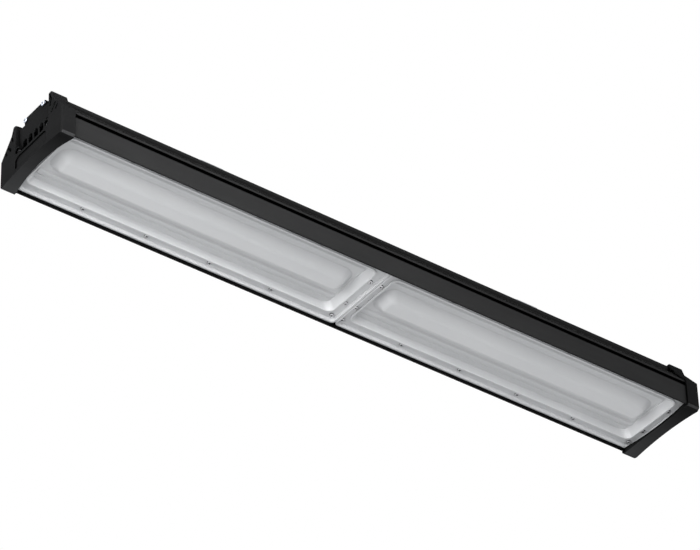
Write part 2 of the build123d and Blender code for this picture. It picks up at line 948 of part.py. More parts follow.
# Driver box: an extruded cover over a folded tray
cover_half_length = half_length - stop_depth - seat_fit
cover_screw_x = [
    (column - (cover_screw_columns - 1) / 2) * cover_screw_pitch
    for column in range(cover_screw_columns)
]
cover_screw_z = inner_fin_top + cover_screw_level
small_screw_hole = (board_screw_shank + screw_hole_fit) / 2
side_holes = [Pos(x, 0, cover_screw_z) * Rot(90, 0, 0) for x in cover_screw_x]

with BuildPart() as driver_cover:
    with BuildSketch(across(0)) as cover_section:
        block(-tongue_half_width, tongue_half_width, inner_fin_top, cover_top)
        fillet(cover_section.vertices().group_by(Axis.Y)[-1], cover_corner_radius)
        inner_half = tongue_half_width - cover_wall
        block(
            -inner_half,
            inner_half,
            inner_fin_top,
            cover_top - cover_wall,
            mode=Mode.SUBTRACT,
        )
        with Locations((-tongue_screw_y, tongue_screw_z), (tongue_screw_y, tongue_screw_z)):
            Circle(cover_port_bore / 2 + cover_port_wall)
            Circle(cover_port_bore / 2, mode=Mode.SUBTRACT)
    extrude(amount=cover_half_length, both=True)
    with Locations((gland_place, 0, cover_top)):
        Cylinder(
            gland_thread / 2 + screw_hole_fit,
            2 * cover_wall,
            mode=Mode.SUBTRACT,
        )
    with Locations(*side_holes):
        Cylinder(small_screw_hole, 2 * overall_width, mode=Mode.SUBTRACT)
save(driver_cover.part, "driver_cover")

tray_half_width = tongue_half_width - cover_wall - seat_fit
tray_half_length = cover_half_length - stop_depth
driver_width = 2 * (tray_half_width - tray_thickness - driver_side_gap)
with BuildPart() as driver_tray:
    with BuildSketch(across(0)):
        block(-tray_half_width, tray_half_width, inner_fin_top, inner_fin_top + tray_flange)
        block(
            tray_thickness - tray_half_width,
            tray_half_width - tray_thickness,
            inner_fin_top + tray_thickness,
            inner_fin_top + tray_flange,
            mode=Mode.SUBTRACT,
        )
    extrude(amount=tray_half_length, both=True)
    with Locations(*side_holes):
        Cylinder(small_screw_hole, 2 * overall_width, mode=Mode.SUBTRACT)
    with Locations((-lead_place, 0, inner_fin_top), (lead_place, 0, inner_fin_top)):
        Cylinder(grommet_radius, 2 * tray_thickness, mode=Mode.SUBTRACT)
    with Locations(*[(x, 0, inner_fin_top) for x in driver_screw_x]):
        Cylinder(screw_hole, 2 * tray_thickness, mode=Mode.SUBTRACT)
save(driver_tray.part, "driver_tray")

side_screw = screw(
    board_screw_head, board_screw_head_height, board_screw_shank, cover_side_screw_length
)
save(
    placed(
        side_screw,
        [
            Pos(x, side * tongue_half_width, cover_screw_z) * Rot(side * 90, 0, 0)
            for x in cover_screw_x
            for side in (-1, 1)
        ],
    ),
    "cover_screws",
)


# Drivers, terminal block and leads inside the box
tray_top = inner_fin_top + tray_thickness
driver_middle = (driver_gap + driver_length) / 2

with BuildPart() as driver_right:
    with Locations((driver_middle, 0, tray_top)):
        Box(
            driver_length,
            driver_width,
            driver_height,
            align=(Align.CENTER, Align.CENTER, Align.MIN),
        )
    fillet(driver_right.edges().filter_by(Axis.X).group_by(Axis.Z)[-1], cover_corner_radius)
    with Locations((driver_middle, 0, tray_top)):
        Box(
            driver_length + 2 * driver_tab,
            driver_width / 2,
            driver_tab_thickness,
            align=(Align.CENTER, Align.CENTER, Align.MIN),
        )
    with Locations(*[(x, 0, tray_top) for x in driver_screw_x if x > 0]):
        Cylinder(screw_hole, 4 * driver_tab_thickness, mode=Mode.SUBTRACT)
save(driver_right.part, "driver_right")
save(turned(driver_right.part), "driver_left")

driver_screw = screw(
    lens_screw_head, lens_screw_head_height, lens_screw_shank, driver_screw_length
)
save(
    placed(
        driver_screw,
        [Pos(x, 0, tray_top + driver_tab_thickness) * Rot(180, 0, 0) for x in driver_screw_x],
    ),
    "driver_screws",
)

with BuildPart() as terminal_block:
    with Locations((0, 0, tray_top)):
        Box(
            terminal_length,
            terminal_width,
            terminal_height,
            align=(Align.CENTER, Align.CENTER, Align.MIN),
        )
    chamfer(terminal_block.edges().filter_by(Axis.Y).group_by(Axis.Z)[-1], terminal_chamfer)
    with Locations((0, 0, tray_top + terminal_height)):
        with GridLocations(terminal_length / 2, core_spread * 2, 2, 3):
            Cylinder(core_diameter / 2, terminal_height / 2, mode=Mode.SUBTRACT)
save(terminal_block.part, "terminal_block")

core_length = (driver_gap - terminal_length) / 2
core_level = tray_top + terminal_height / 2
core = Cylinder(core_diameter / 2, core_length, rotation=(0, 90, 0))
save(
    placed(
        core,
        [
            Pos(side * (terminal_length + core_length) / 2, y, core_level)
            for side in (-1, 1)
            for y in (-core_spread, 0, core_spread)
        ],
    ),
    "supply_leads",
)

lead_level = tray_top + driver_height / 2
driver_end = driver_middle + driver_length / 2
with BuildPart() as board_lead_right:
    with BuildLine():
        FilletPolyline(
            (driver_end, 0, lead_level),
            (lead_place, 0, lead_level),
            (lead_place, 0, plate_bottom),
            radius=lead_bend,
        )
    with BuildSketch(across(driver_end)):
        with Locations((0, lead_level)):
            Circle(lead_diameter / 2)
    sweep()
save(board_lead_right.part, "board_lead_right")
save(turned(board_lead_right.part), "board_lead_left")

with BuildPart() as lead_grommet:
    with BuildSketch(level(plate_bottom)):
        Circle(grommet_radius)
        Circle(lead_diameter / 2, mode=Mode.SUBTRACT)
    extrude(amount=plate_thickness + grommet_flange)
    with BuildSketch(level(plate_top)):
        Circle(grommet_radius + seat_fit)
        Circle(lead_diameter / 2, mode=Mode.SUBTRACT)
    extrude(amount=grommet_flange)
save(
    placed(lead_grommet.part, [Pos(-lead_place, 0, 0), Pos(lead_place, 0, 0)]),
    "lead_grommets",
)


# Cable inlet
seal_top = cover_top + gland_seal_thickness
hex_top = seal_top + gland_hex_height
neck_radius = gland_thread / 2 - cover_wall

with BuildPart() as gland_body:
    with BuildSketch(level(seal_top)):
        with Locations((gland_place, 0)):
            RegularPolygon(gland_hex / 2, 6, major_radius=False)
    extrude(amount=gland_hex_height)
    with BuildSketch(level(seal_top - gland_tail - gland_seal_thickness)):
        with Locations((gland_place, 0)):
            Circle(gland_thread / 2)
    extrude(amount=gland_tail + gland_seal_thickness)
    with BuildSketch(level(hex_top)):
        with Locations((gland_place, 0)):
            Circle(neck_radius)
    extrude(amount=gland_neck_height)
    with Locations((gland_place, 0, seal_top)):
        Cylinder(gland_bore / 2, 4 * gland_dome_height, mode=Mode.SUBTRACT)
save(gland_body.part, "gland_body")

with BuildPart() as gland_seal:
    with BuildSketch(level(cover_top)):
        with Locations((gland_place, 0)):
            Circle(gland_hex / 2)
            Circle(gland_thread / 2 + slide_fit, mode=Mode.SUBTRACT)
    extrude(amount=gland_seal_thickness)
save(gland_seal.part, "gland_seal")

with BuildPart() as gland_dome_nut:
    with BuildSketch(level(hex_top)):
        with Locations((gland_place, 0)):
            RegularPolygon(gland_hex / 2, 6, major_radius=False)
    extrude(amount=gland_dome_height / 2)
    with BuildSketch(level(hex_top + gland_dome_height / 2)):
        with Locations((gland_place, 0)):
            Circle(gland_hex / 2 - slide_fit)
    extrude(amount=gland_dome_height / 2, taper=gland_dome_taper)
    with BuildSketch(level(hex_top)):
        with Locations((gland_place, 0)):
            Circle(neck_radius + slide_fit)
    extrude(amount=gland_neck_height + slide_fit, mode=Mode.SUBTRACT)
    with Locations((gland_place, 0, seal_top)):
        Cylinder(gland_bore / 2, 4 * gland_dome_height, mode=Mode.SUBTRACT)
save(gland_dome_nut.part, "gland_dome_nut")

with BuildPart() as gland_lock_nut:
    with BuildSketch(level(cover_top - cover_wall - gland_lock_height)):
        with Locations((gland_place, 0)):
            RegularPolygon(gland_hex / 2, 6, major_radius=False)
            Circle(gland_thread / 2 + slide_fit, mode=Mode.SUBTRACT)
    extrude(amount=gland_lock_height)
save(gland_lock_nut.part, "gland_lock_nut")


# Hangers: bent straps that bridge the driver box and bolt to the rails
strap_level = cover_top + hanger_headroom + hanger_thickness / 2
strap_side = tongue_half_width + hanger_side_gap + hanger_thickness / 2
foot_level = rail_top + hanger_thickness / 2
rail_slot_low = rail_web_outer + rail_lip
rail_slot_high = upright_inner - rail_lip
bolt_spread = (rail_slot_low + rail_slot_high) / 2
foot_end = upright_inner - hanger_side_gap

with BuildPart() as hanger_right:
    with BuildSketch(across(hanger_place)):
        with BuildLine():
            FilletPolyline(
                (foot_end, foot_level),
                (strap_side, foot_level),
                (strap_side, strap_level),
                (-strap_side, strap_level),
                (-strap_side, foot_level),
                (-foot_end, foot_level),
                radius=hanger_bend,
            )
        trace(line_width=hanger_thickness)
    extrude(amount=hanger_width / 2, both=True)
    with Locations((hanger_place, 0, strap_level)):
        Cylinder(hanger_hole / 2, 2 * hanger_thickness, mode=Mode.SUBTRACT)
    with Locations((hanger_place, -bolt_spread, foot_level), (hanger_place, bolt_spread, foot_level)):
        Cylinder(
            bolt_diameter / 2 + screw_hole_fit, 2 * hanger_thickness, mode=Mode.SUBTRACT
        )
save(hanger_right.part, "hanger_right")
save(turned(hanger_right.part), "hanger_left")

bolt_places = [
    (end * hanger_place, side * bolt_spread) for end in (-1, 1) for side in (-1, 1)
]
with BuildPart() as hanger_bolt:
    with BuildSketch(level(rail_top + hanger_thickness)):
        RegularPolygon(bolt_head / 2, 6, major_radius=False)
    extrude(amount=bolt_head_height)
    with BuildSketch(level(rail_top + hanger_thickness - bolt_length)):
        Circle(bolt_diameter / 2)
    extrude(amount=bolt_length)
save(placed(hanger_bolt.part, [Pos(x, y, 0) for x, y in bolt_places]), "hanger_bolts")

nut_height = bolt_length - hanger_thickness - rail_lip_thickness
with BuildPart() as hanger_nut:
    with BuildSketch(level(rail_top - rail_lip_thickness - nut_height)):
        RegularPolygon(bolt_head / 2, 6, major_radius=False)
        Circle(bolt_diameter / 2, mode=Mode.SUBTRACT)
    extrude(amount=nut_height)
save(placed(hanger_nut.part, [Pos(x, y, 0) for x, y in bolt_places]), "hanger_nuts")
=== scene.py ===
import json
import math

import bmesh
import bpy
from mathutils import Matrix, Vector


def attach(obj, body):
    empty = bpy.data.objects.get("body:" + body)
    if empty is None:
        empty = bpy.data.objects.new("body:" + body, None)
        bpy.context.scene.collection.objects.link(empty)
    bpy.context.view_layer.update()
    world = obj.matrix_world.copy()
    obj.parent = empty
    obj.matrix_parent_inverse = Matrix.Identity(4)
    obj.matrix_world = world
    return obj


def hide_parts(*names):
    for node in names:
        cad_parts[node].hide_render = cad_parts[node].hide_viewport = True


# The frame comes first, with the size of the bare solids. All sizes here are in metres.
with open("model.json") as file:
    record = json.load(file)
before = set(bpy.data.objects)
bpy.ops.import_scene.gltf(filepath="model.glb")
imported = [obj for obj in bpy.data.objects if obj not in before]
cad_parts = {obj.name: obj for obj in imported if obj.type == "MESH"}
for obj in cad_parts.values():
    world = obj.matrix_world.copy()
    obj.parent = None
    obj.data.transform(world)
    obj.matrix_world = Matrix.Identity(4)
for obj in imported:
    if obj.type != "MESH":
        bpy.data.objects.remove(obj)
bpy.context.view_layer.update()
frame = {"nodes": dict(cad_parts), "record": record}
NODES = frame["nodes"]
SLOT_OF = {part["node"]: part["material_slot"] for part in frame["record"]["subparts"]}

MM = 0.001


# Materials: small helpers first, which add nodes and give back a socket


def blank_material(name):
    """An empty procedural material, with its surface shader."""
    material = bpy.data.materials.new(name)
    material.use_nodes = True
    return material, material.node_tree.nodes["Principled BSDF"]


def link(material, source, target):
    """Joins two sockets of a material."""
    material.node_tree.links.new(source, target)


def split(material, vector):
    """The X, Y and Z of a vector."""
    parts = material.node_tree.nodes.new("ShaderNodeSeparateXYZ")
    link(material, vector, parts.inputs["Vector"])
    return parts.outputs


def own_place(material):
    """Where a point lies on its piece."""
    place = material.node_tree.nodes.new("ShaderNodeTexCoord")
    return split(material, place.outputs["Object"])


def facing(material):
    """Which way a face looks."""
    geometry = material.node_tree.nodes.new("ShaderNodeNewGeometry")
    return split(material, geometry.outputs["True Normal"])


def calculate(material, operation, *values):
    """The result of an operation on one or two values."""
    node = material.node_tree.nodes.new("ShaderNodeMath")
    node.operation = operation
    for value, socket in zip(values, node.inputs):
        link(material, value, socket)
    return node.outputs["Value"]


def remap(material, value, span, target):
    """A value carried from one span to another and held at its ends, which may be sockets."""
    node = material.node_tree.nodes.new("ShaderNodeMapRange")
    for name, bound in zip(("From Min", "From Max", "To Min", "To Max"), (*span, *target)):
        if isinstance(bound, bpy.types.NodeSocket):
            link(material, bound, node.inputs[name])
        else:
            node.inputs[name].default_value = bound
    link(material, value, node.inputs["Value"])
    return node.outputs["Result"]


def ramp(material, source, stops):
    """Turns a value into greys or colours between the given stops."""
    node = material.node_tree.nodes.new("ShaderNodeValToRGB")
    elements = node.color_ramp.elements
    while len(elements) < len(stops):
        elements.new(0.5)
    for element, (position, colour) in zip(elements, stops):
        element.position = position
        element.color = (*colour, 1)
    link(material, source, node.inputs["Fac"])
    return node.outputs["Color"]


def grey(value):
    """A neutral colour."""
    return (value, value, value)


def blend(low, high, low_colour, high_colour):
    """The two stops of a ramp from one colour to another."""
    return [(low, low_colour), (high, high_colour)]


def grain(material, scale, detail=3.0):
    """Noise on the piece's own coordinates, stretched by a scale per axis, per metre."""
    nodes = material.node_tree.nodes
    place = nodes.new("ShaderNodeTexCoord")
    stretch = nodes.new("ShaderNodeMapping")
    stretch.inputs["Scale"].default_value = scale
    noise = nodes.new("ShaderNodeTexNoise")
    noise.inputs["Scale"].default_value = 1.0
    noise.inputs["Detail"].default_value = detail
    noise.inputs["Roughness"].default_value = 0.55
    link(material, place.outputs["Object"], stretch.inputs["Vector"])
    link(material, stretch.outputs["Vector"], noise.inputs["Vector"])
    return noise.outputs["Fac"]


def edge_round(material, radius):
    """Softens the shading of sharp edges, as the small radius of a real edge does."""
    node = material.node_tree.nodes.new("ShaderNodeBevel")
    node.samples = 6
    node.inputs["Radius"].default_value = radius
    return node.outputs["Normal"]


def bump(material, height, distance, strength, normal=None):
    """Raises a height field, on top of another normal if one is given."""
    node = material.node_tree.nodes.new("ShaderNodeBump")
    node.inputs["Strength"].default_value = strength
    node.inputs["Distance"].default_value = distance
    link(material, height, node.inputs["Height"])
    if normal is not None:
        link(material, normal, node.inputs["Normal"])
    return node.outputs["Normal"]


def times(material, colour, shade):
    """A colour multiplied by a shade."""
    product = material.node_tree.nodes.new("ShaderNodeVectorMath")
    product.operation = "MULTIPLY"
    link(material, colour, product.inputs[0])
    link(material, shade, product.inputs[1])
    return product.outputs["Vector"]


def painted_recess_shade(material, colour, reach, shut, clear):
    """The colour, darkened by painted shade where other surfaces within reach close in around
    it.
    """
    closeness = material.node_tree.nodes.new("ShaderNodeAmbientOcclusion")
    closeness.samples = 8
    closeness.inputs["Distance"].default_value = reach
    shade = ramp(material, closeness.outputs["AO"], blend(shut, clear, grey(0.03), grey(1.0)))
    return times(material, colour, shade)


# Painted shade by height: levels up the fixture in millimetres, each with the share of the
# colour that shows there. The bevelled mouth of the side slot and the channel behind its lip
# hold no light, so they are painted black, and the sides of the fins, which hold little, painted
# dark.
TOP_LEVEL = 100.0
EXTRUSION_SHADES = (
    (38.0, 1.0),
    (38.4, 0.02),
    (45.5, 0.02),
    (46.0, 1.0),
    (48.5, 0.9),
    (49.5, 0.08),
    (80.0, 0.05),
    (86.0, 0.25),
    (94.0, 0.8),
)
# How far up a face looks, as the Z of its normal, while the levels cease to count
UPWARD = (0.15, 0.45)


def painted_height_shade(material, colour):
    """The colour of the extrusion, with painted shade on its upright faces by their level."""
    share = remap(material, own_place(material)["Z"], (0, TOP_LEVEL * MM), (0, 1))
    stops = [(level / TOP_LEVEL, grey(shade)) for level, shade in EXTRUSION_SHADES]
    shade = ramp(material, share, stops)
    upward = remap(material, facing(material)["Z"], UPWARD, (0, 1))
    return times(material, colour, calculate(material, "MAXIMUM", shade, upward))


# The inner faces of the skirts lie in their own shade up to the level of the covers, painted
# into their colour
SKIRT_OUTSIDE = max(corner.co.y for corner in NODES["housing"].data.vertices)
SKIRT_INSIDE = SKIRT_OUTSIDE - 0.5 * MM
COVER_LEVEL = 25 * MM
SKIRT_SHADE = 0.3
SHADE_EDGE = 0.6 * MM


def painted_skirt_shade(material, colour):
    """The colour of the extrusion, with painted shade inside its skirts and below the covers."""
    place = own_place(material)
    away = calculate(material, "ABSOLUTE", place["Y"])
    shades = [
        remap(material, value, (limit - SHADE_EDGE, limit), (SKIRT_SHADE, 1))
        for value, limit in ((away, SKIRT_INSIDE), (place["Z"], COVER_LEVEL))
    ]
    return times(material, colour, calculate(material, "MAXIMUM", *shades))


# Painted highlight: the foot chamfers of the caps shine most where they look half way between
# down and sideways
CHAMFER_SLOPES = (-0.38, -0.49)
CHAMFER_GAIN = 3.6
# Painted light: the flat underside of the caps is paler too, more so on the +Y side
UNDERSIDE_SLOPES = (-0.8, -0.96)
UNDERSIDE_SPAN = (-70 * MM, 70 * MM)
UNDERSIDE_GAINS = (1.2, 4.2)


def painted_chamfer_highlight(material, colour):
    """The colour of the caps, with a painted highlight on their foot chamfers."""
    look = facing(material)
    side = calculate(material, "ABSOLUTE", look["Y"])
    slope = calculate(material, "MULTIPLY", side, look["Z"])
    return times(material, colour, remap(material, slope, CHAMFER_SLOPES, (1, CHAMFER_GAIN)))


def painted_underside_light(material, colour):
    """The colour of the caps, with painted light on the faces that look straight down."""
    gain = remap(material, own_place(material)["Y"], UNDERSIDE_SPAN, UNDERSIDE_GAINS)
    share = remap(material, facing(material)["Z"], UNDERSIDE_SLOPES, (1, gain))
    return times(material, colour, share)


# The finishes themselves


def anodised_extrusion():
    """Black anodised aluminium, with fine draw lines along its length."""
    material, shader = blank_material("black_anodised_extrusion")
    draw_lines = grain(material, (3, 1400, 1400), detail=4)
    cloud = grain(material, (9, 30, 30), detail=5)
    tones = blend(0.3, 0.7, (0.0145, 0.0146, 0.0148), (0.0175, 0.0176, 0.0178))
    # Painted shade in the recesses, inside the skirts and on the upright faces by their level
    black = painted_recess_shade(material, ramp(material, cloud, tones), 22 * MM, 0.5, 0.98)
    black = painted_height_shade(material, painted_skirt_shade(material, black))
    gloss = ramp(material, draw_lines, blend(0.3, 0.7, grey(0.34), grey(0.46)))
    relief = bump(material, draw_lines, 0.04 * MM, 0.25, edge_round(material, 0.5 * MM))
    link(material, black, shader.inputs["Base Color"])
    link(material, gloss, shader.inputs["Roughness"])
    link(material, relief, shader.inputs["Normal"])
    shader.inputs["Specular IOR Level"].default_value = 0.03
    return material


def moulded_black():
    """Black moulded plastic, with the fine even texture of its mould."""
    material, shader = blank_material("black_moulded_plastic")
    texture = grain(material, (1600, 1600, 1600), detail=2)
    flow = grain(material, (22, 22, 22), detail=4)
    tones = blend(0.3, 0.7, (0.0092, 0.0093, 0.0095), (0.0112, 0.0113, 0.0115))
    # Painted shade in the recesses, a painted highlight on the foot chamfers and painted light
    # on the underside
    black = painted_recess_shade(material, ramp(material, flow, tones), 14 * MM, 0.5, 0.95)
    black = painted_chamfer_highlight(material, painted_underside_light(material, black))
    gloss = ramp(material, flow, blend(0.35, 0.65, grey(0.46), grey(0.54)))
    relief = bump(material, texture, 0.05 * MM, 0.35, edge_round(material, 0.7 * MM))
    link(material, black, shader.inputs["Base Color"])
    link(material, gloss, shader.inputs["Roughness"])
    link(material, relief, shader.inputs["Normal"])
    shader.inputs["Specular IOR Level"].default_value = 0.0
    return material


def frosted_cover():
    """Frosted clear plastic that scatters the light of the boards behind it."""
    material, shader = blank_material("frosted_lens")
    frosting = grain(material, (2600, 2600, 2600), detail=2)
    flow = grain(material, (7, 16, 16), detail=3)
    tones = blend(0.3, 0.7, (0.56, 0.567, 0.576), (0.59, 0.596, 0.604))
    gloss = ramp(material, frosting, blend(0.3, 0.7, grey(0.36), grey(0.44)))
    relief = bump(material, frosting, 0.02 * MM, 0.2, edge_round(material, 0.9 * MM))
    link(material, ramp(material, flow, tones), shader.inputs["Base Color"])
    link(material, gloss, shader.inputs["Roughness"])
    link(material, relief, shader.inputs["Normal"])
    shader.inputs["IOR"].default_value = 1.58
    return material


def turned_metal(name, colour, roughness):
    """Bare or plated steel, with small tool marks, a little wear and painted shade in its
    recesses.
    """
    material, shader = blank_material(name)
    scratches = grain(material, (900, 900, 900), detail=4)
    patches = grain(material, (120, 120, 120), detail=4)
    dark = tuple(0.82 * part for part in colour)
    steel = ramp(material, patches, blend(0.35, 0.65, dark, colour))
    # Painted shade in the recesses
    steel = painted_recess_shade(material, steel, 2.5 * MM, 0.65, 0.98)
    gloss = ramp(material, scratches, blend(0.3, 0.7, grey(roughness), grey(roughness + 0.12)))
    relief = bump(material, scratches, 0.02 * MM, 0.2, edge_round(material, 0.3 * MM))
    link(material, steel, shader.inputs["Base Color"])
    link(material, gloss, shader.inputs["Roughness"])
    link(material, relief, shader.inputs["Normal"])
    shader.inputs["Metallic"].default_value = 1.0
    return material


def soft_rubber(name, colour):
    """Matt silicone, with a faint bloom."""
    material, shader = blank_material(name)
    bloom = grain(material, (90, 90, 90), detail=5)
    pale = tuple(1.25 * part for part in colour)
    gloss = ramp(material, bloom, blend(0.3, 0.7, grey(0.62), grey(0.74)))
    link(
        material,
        ramp(material, bloom, blend(0.35, 0.65, colour, pale)),
        shader.inputs["Base Color"],
    )
    link(material, gloss, shader.inputs["Roughness"])
    link(material, bump(material, bloom, 0.05 * MM, 0.2), shader.inputs["Normal"])
    return material


def plain_moulding(name, colour, roughness):
    """Small moulded parts, with a fine grain."""
    material, shader = blank_material(name)
    texture = grain(material, (1300, 1300, 1300), detail=3)
    dark = tuple(0.85 * part for part in colour)
    gloss = ramp(material, texture, blend(0.3, 0.7, grey(roughness), grey(roughness + 0.08)))
    relief = bump(material, texture, 0.04 * MM, 0.25, edge_round(material, 0.3 * MM))
    link(
        material,
        ramp(material, texture, blend(0.35, 0.65, dark, colour)),
        shader.inputs["Base Color"],
    )
    link(material, gloss, shader.inputs["Roughness"])
    link(material, relief, shader.inputs["Normal"])
    return material


FINISHES = {
    "black_extrusion": anodised_extrusion(),
    "black_moulding": moulded_black(),
    "frosted_cover": frosted_cover(),
    "grey_silicone": soft_rubber("grey_silicone_seal", (0.36, 0.36, 0.37)),
    "black_silicone": soft_rubber("black_silicone_seal", (0.02, 0.02, 0.021)),
    "bare_aluminium": turned_metal("mill_aluminium", (0.70, 0.70, 0.72), 0.34),
    "stainless_screw": turned_metal("stainless_steel", (0.66, 0.66, 0.68), 0.24),
    "black_screw": turned_metal("blackened_steel", (0.045, 0.045, 0.048), 0.38),
    "zinc_screw": turned_metal("blue_zinc_plate", (0.50, 0.54, 0.62), 0.28),
    "white_board": plain_moulding("white_board_mask", (0.82, 0.82, 0.80), 0.35),
    "led_package": plain_moulding("chip_phosphor", (0.90, 0.76, 0.28), 0.3),
    "driver_case": turned_metal("driver_case_aluminium", (0.56, 0.57, 0.59), 0.36),
    "pale_nylon": plain_moulding("pale_nylon_moulding", (0.76, 0.76, 0.70), 0.42),
    "lead_jacket": soft_rubber("lead_jacket_silicone", (0.60, 0.60, 0.58)),
    "black_nylon": plain_moulding("black_nylon_moulding", (0.018, 0.018, 0.019), 0.44),
    "steel_strap": turned_metal("plated_steel_strap", (0.40, 0.41, 0.43), 0.32),
}

# The carried-over solids keep their shape and take their finish
for node_name, node in NODES.items():
    node.data.materials.clear()
    node.data.materials.append(FINISHES[SLOT_OF[node_name]])


# New pieces: helpers that shape and place them


def finished(shape, name, slot_name, *replaced):
    """Makes a shape one piece of the fixture, in its material slot."""
    mesh = bpy.data.meshes.new(name)
    shape.to_mesh(mesh)
    shape.free()
    mesh.materials.append(FINISHES[slot_name])
    mesh.shade_smooth()
    mesh.set_sharp_from_angle(angle=math.radians(32))
    piece = bpy.data.objects.new(name, mesh)
    bpy.context.scene.collection.objects.link(piece)
    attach(piece, "root")
    if replaced:
        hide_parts(*replaced)


def rounded_rim(shape, radius, segments, on_rim):
    """Rounds the edges whose corners all lie on a rim."""
    rim = [edge for edge in shape.edges if all(on_rim(corner.co.z) for corner in edge.verts)]
    bmesh.ops.bevel(
        shape,
        geom=rim,
        offset=radius,
        segments=segments,
        profile=0.5,
        affect="EDGES",
        material=-1,
    )


# A cross recess has four arms of two corners each, with four corners in every hollow between.
# The spreads are shares of the head's radius.
HEAD_CORNERS = 24
CORNERS_PER_ARM = HEAD_CORNERS // 4
ARM_SPREAD = 0.7
HOLLOW_SPREAD = 0.36
RECESS_TAPER = 0.7


def cross_head(radius, height, depth):
    """A pan head that points down, with a cross recess, centred under the origin."""
    shape = bmesh.new()
    bmesh.ops.create_cone(
        shape,
        cap_ends=True,
        segments=HEAD_CORNERS,
        radius1=radius,
        radius2=radius,
        depth=height,
    )
    bmesh.ops.translate(shape, verts=shape.verts, vec=(0, 0, -height / 2))
    rounded_rim(shape, 0.45 * height, 4, lambda z: z < -0.9 * height)
    face = min(shape.faces, key=lambda flat: flat.calc_center_median().z)
    bmesh.ops.inset_individual(shape, faces=[face], thickness=0.06 * radius)
    around = sorted(face.verts, key=lambda corner: math.atan2(corner.co.y, corner.co.x))
    for place, corner in enumerate(around):
        spread = ARM_SPREAD if place % CORNERS_PER_ARM in (0, 1) else HOLLOW_SPREAD
        grow = spread * radius / math.hypot(corner.co.x, corner.co.y)
        corner.co.x *= grow
        corner.co.y *= grow
    sunk = bmesh.ops.extrude_discrete_faces(shape, faces=[face])["faces"][0]
    bmesh.ops.translate(shape, verts=sunk.verts, vec=(0, 0, depth))
    bmesh.ops.scale(shape, verts=sunk.verts, vec=(RECESS_TAPER, RECESS_TAPER, 1))
    bmesh.ops.recalc_face_normals(shape, faces=shape.faces)
    return shape


def shank(radius, length):
    """A screw's shank that points up from the origin, with a blunt point."""
    shape = bmesh.new()
    bmesh.ops.create_cone(
        shape, cap_ends=True, segments=16, radius1=radius, radius2=0.8 * radius, depth=length
    )
    bmesh.ops.translate(shape, verts=shape.verts, vec=(0, 0, length / 2))
    rounded_rim(shape, 0.3 * radius, 2, lambda z: z > 0.9 * length)
    return shape


def add_to(shape, extra):
    """Joins a second shape into the first."""
    mesh = bpy.data.meshes.new("extra")
    extra.to_mesh(mesh)
    extra.free()
    shape.from_mesh(mesh)
    bpy.data.meshes.remove(mesh)


def spread_out(pattern, places):
    """One shape with a copy of the pattern at each place, each a matrix."""
    whole = bmesh.new()
    mesh = bpy.data.meshes.new("pattern")
    pattern.to_mesh(mesh)
    pattern.free()
    for place in places:
        before = len(whole.verts)
        whole.from_mesh(mesh)
        whole.verts.ensure_lookup_table()
        bmesh.ops.transform(whole, matrix=place, verts=whole.verts[before:])
    bpy.data.meshes.remove(mesh)
    return whole


def solids_of(node_name):
    """The low and high corner of the box round each separate solid of a node."""
    shape = bmesh.new()
    shape.from_mesh(NODES[node_name].data)
    bmesh.ops.remove_doubles(shape, verts=shape.verts, dist=0.01 * MM)
    boxes = []
    waiting = set(shape.verts)
    for first in shape.verts:
        if first not in waiting:
            continue
        waiting.discard(first)
        found = [first]
        for corner in found:
            for edge in corner.link_edges:
                other = edge.other_vert(corner)
                if other in waiting:
                    waiting.discard(other)
                    found.append(other)
        low_corner = Vector(min(corner.co[axis] for corner in found) for axis in range(3))
        high_corner = Vector(max(corner.co[axis] for corner in found) for axis in range(3))
        boxes.append((low_corner, high_corner))
    shape.free()
    return boxes


# Screws round the covers: pan heads with cross recesses, on their shanks
LENS_HEAD_RADIUS = 3.7 * MM
LENS_HEAD_HEIGHT = 2.4 * MM
LENS_RECESS_DEPTH = 1.6 * MM
LENS_SHANK_RADIUS = 1.9 * MM
LENS_TURN = 0.7

lens_boxes = solids_of("lens_screws")
lens_middles = [(low_corner + high_corner) / 2 for low_corner, high_corner in lens_boxes]
lens_seats = [
    Matrix.Translation((middle.x, middle.y, low_corner.z + LENS_HEAD_HEIGHT))
    for middle, (low_corner, high_corner) in zip(lens_middles, lens_boxes)
]
lens_head_places = [
    seat @ Matrix.Rotation(LENS_TURN * index, 4, "Z") for index, seat in enumerate(lens_seats)
]
lens_shank_length = lens_boxes[0][1].z - lens_boxes[0][0].z - LENS_HEAD_HEIGHT
heads = spread_out(
    cross_head(LENS_HEAD_RADIUS, LENS_HEAD_HEIGHT, LENS_RECESS_DEPTH), lens_head_places
)
add_to(heads, spread_out(shank(LENS_SHANK_RADIUS, lens_shank_length), lens_seats))
finished(heads, "lens_screw_heads", "stainless_screw", "lens_screws")

# Screws of the caps and of the driver box: the same heads, turned to face out of each end
CAP_HEAD_HEIGHT = 3.0 * MM
CAP_RECESS_DEPTH = 1.7 * MM
CAP_SHANK_SHARE = 0.45
CAP_FIRST_TURN = 0.5
CAP_TURN = 0.8


